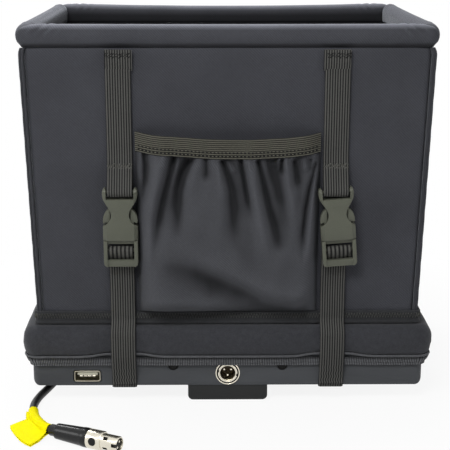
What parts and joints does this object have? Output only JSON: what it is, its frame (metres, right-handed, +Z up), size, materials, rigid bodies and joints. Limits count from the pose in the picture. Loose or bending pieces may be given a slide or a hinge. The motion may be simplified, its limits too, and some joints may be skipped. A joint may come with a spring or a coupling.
{
  "type": "portable field recorder",
  "caption": "Slim field unit in a padded open-top hood with an elastic pocket, strapped on by side-release buckles, with front sockets, a tripod rail and a flagged lead",
  "frame": {"origin": "middle of the tripod thread's mouth in the underside of the mount shoe", "axes": "+X right as seen from the front, +Y to the rear, +Z up"},
  "size_m": [0.23, 0.2425, 0.2096],
  "materials": {
    "housing": "fine-grained dark grey moulding",
    "cover_glass": "dark glossy cover glass",
    "screen": "dark screen panel, switched off",
    "circuit": "green board",
    "battery": "blue sleeve",
    "connector_metal": "nickel-plated, satin",
    "insert": "black insulating plastic",
    "shoe": "satin black",
    "screws": "blackened steel",
    "wall_fabric": "charcoal twill over foam",
    "rim_fabric": "charcoal twill, rolled and padded",
    "stiffener": "stiff board",
    "trim": "black binding and piping",
    "skirt_fabric": "charcoal stretch cloth over foam",
    "pocket_cloth": "grey twill, gathered",
    "webbing": "ribbed olive-black elastic",
    "buckle": "satin olive-grey moulding",
    "cable": "smooth black jacket",
    "flag": "plain yellow film, bare"
  },
  "bodies": {
    "base": {"base_tray": "housing", "top_frame": "housing", "display_glass": "cover_glass", "display_panel": "screen", "main_board": "circuit", "battery_pack": "battery", "usb_socket": "connector_metal", "usb_tongue": "insert", "panel_connector_shell": "connector_metal", "panel_connector_nut": "connector_metal", "panel_connector_insert": "insert", "panel_connector_pins": "connector_metal", "mount_shoe": "shoe", "shoe_screws": "screws", "housing_screws": "screws", "front_screws": "screws", "cable_gland": "insert", "front_panel": "wall_fabric", "rear_panel": "wall_fabric", "left_panel": "wall_fabric", "right_panel": "wall_fabric", "front_board": "stiffener", "rear_board": "stiffener", "left_board": "stiffener", "right_board": "stiffener", "front_rim": "rim_fabric", "rear_rim": "rim_fabric", "left_rim": "rim_fabric", "right_rim": "rim_fabric", "corner_piping": "trim", "binding_tape": "trim", "hem_piping": "trim", "elastic_band": "trim", "skirt": "skirt_fabric", "pocket": "pocket_cloth", "pocket_band": "webbing", "left_upper_strap": "webbing", "right_upper_strap": "webbing", "left_lower_strap": "webbing", "right_lower_strap": "webbing", "left_back_strap": "webbing", "right_back_strap": "webbing", "left_buckle_socket": "buckle", "right_buckle_socket": "buckle", "lead_cable": "cable", "lead_sleeve": "cable", "lead_flag": "flag", "lead_shell": "connector_metal", "lead_contacts": "connector_metal", "lead_insert": "insert"},
    "left_plug": {"left_buckle_plug": "buckle", "left_strap_fold": "webbing"},
    "right_plug": {"right_buckle_plug": "buckle", "right_strap_fold": "webbing"},
    "left_buckle_left_arm": {"left_buckle_left_arm": "buckle"},
    "left_buckle_right_arm": {"left_buckle_right_arm": "buckle"},
    "right_buckle_left_arm": {"right_buckle_left_arm": "buckle"},
    "right_buckle_right_arm": {"right_buckle_right_arm": "buckle"},
    "latch_button": {"lead_latch_button": "insert"}
  },
  "joints": [
    {"name": "left_buckle_release", "type": "slide", "parent": "base", "child": "left_plug", "axis": [0, 0.0279, -0.9996], "range_m": [0, 0.022], "deforming": ["left_lower_strap", "left_buckle_left_arm", "left_buckle_right_arm"]},
    {"name": "right_buckle_release", "type": "slide", "parent": "base", "child": "right_plug", "axis": [0.0785, 0.0278, -0.9965], "range_m": [0, 0.022], "deforming": ["right_lower_strap", "right_buckle_left_arm", "right_buckle_right_arm"]},
    {"name": "left_buckle_left_pinch", "type": "hinge", "parent": "left_plug", "child": "left_buckle_left_arm", "pos_m": [-0.06405, -0.08602, 0.09554], "axis": [0, 0.9996, 0.0279], "range_deg": [0, 10], "stiffness_Nm_per_rad": 0.05},
    {"name": "left_buckle_right_pinch", "type": "hinge", "parent": "left_plug", "child": "left_buckle_right_arm", "pos_m": [-0.05135, -0.08602, 0.09554], "axis": [0, -0.9996, -0.0279], "range_deg": [0, 10], "stiffness_Nm_per_rad": 0.05},
    {"name": "right_buckle_left_pinch", "type": "hinge", "parent": "right_plug", "child": "right_buckle_left_arm", "pos_m": [0.05337, -0.08601, 0.09512], "axis": [0, 0.9996, 0.0279], "range_deg": [0, 10], "stiffness_Nm_per_rad": 0.05},
    {"name": "right_buckle_right_pinch", "type": "hinge", "parent": "right_plug", "child": "right_buckle_right_arm", "pos_m": [0.06603, -0.08604, 0.09611], "axis": [0, -0.9996, -0.0279], "range_deg": [0, 10], "stiffness_Nm_per_rad": 0.05},
    {"name": "latch_button_press", "type": "slide", "parent": "base", "child": "latch_button", "axis": [0.4429, 0.8857, -0.1392], "range_m": [0, 0.0008], "stiffness_N_per_m": 400}
  ],
  "couplings": [
    {"joint": "left_buckle_right_pinch", "follows": "left_buckle_left_pinch", "ratio": 1},
    {"joint": "right_buckle_right_pinch", "follows": "right_buckle_left_pinch", "ratio": 1}
  ]
}
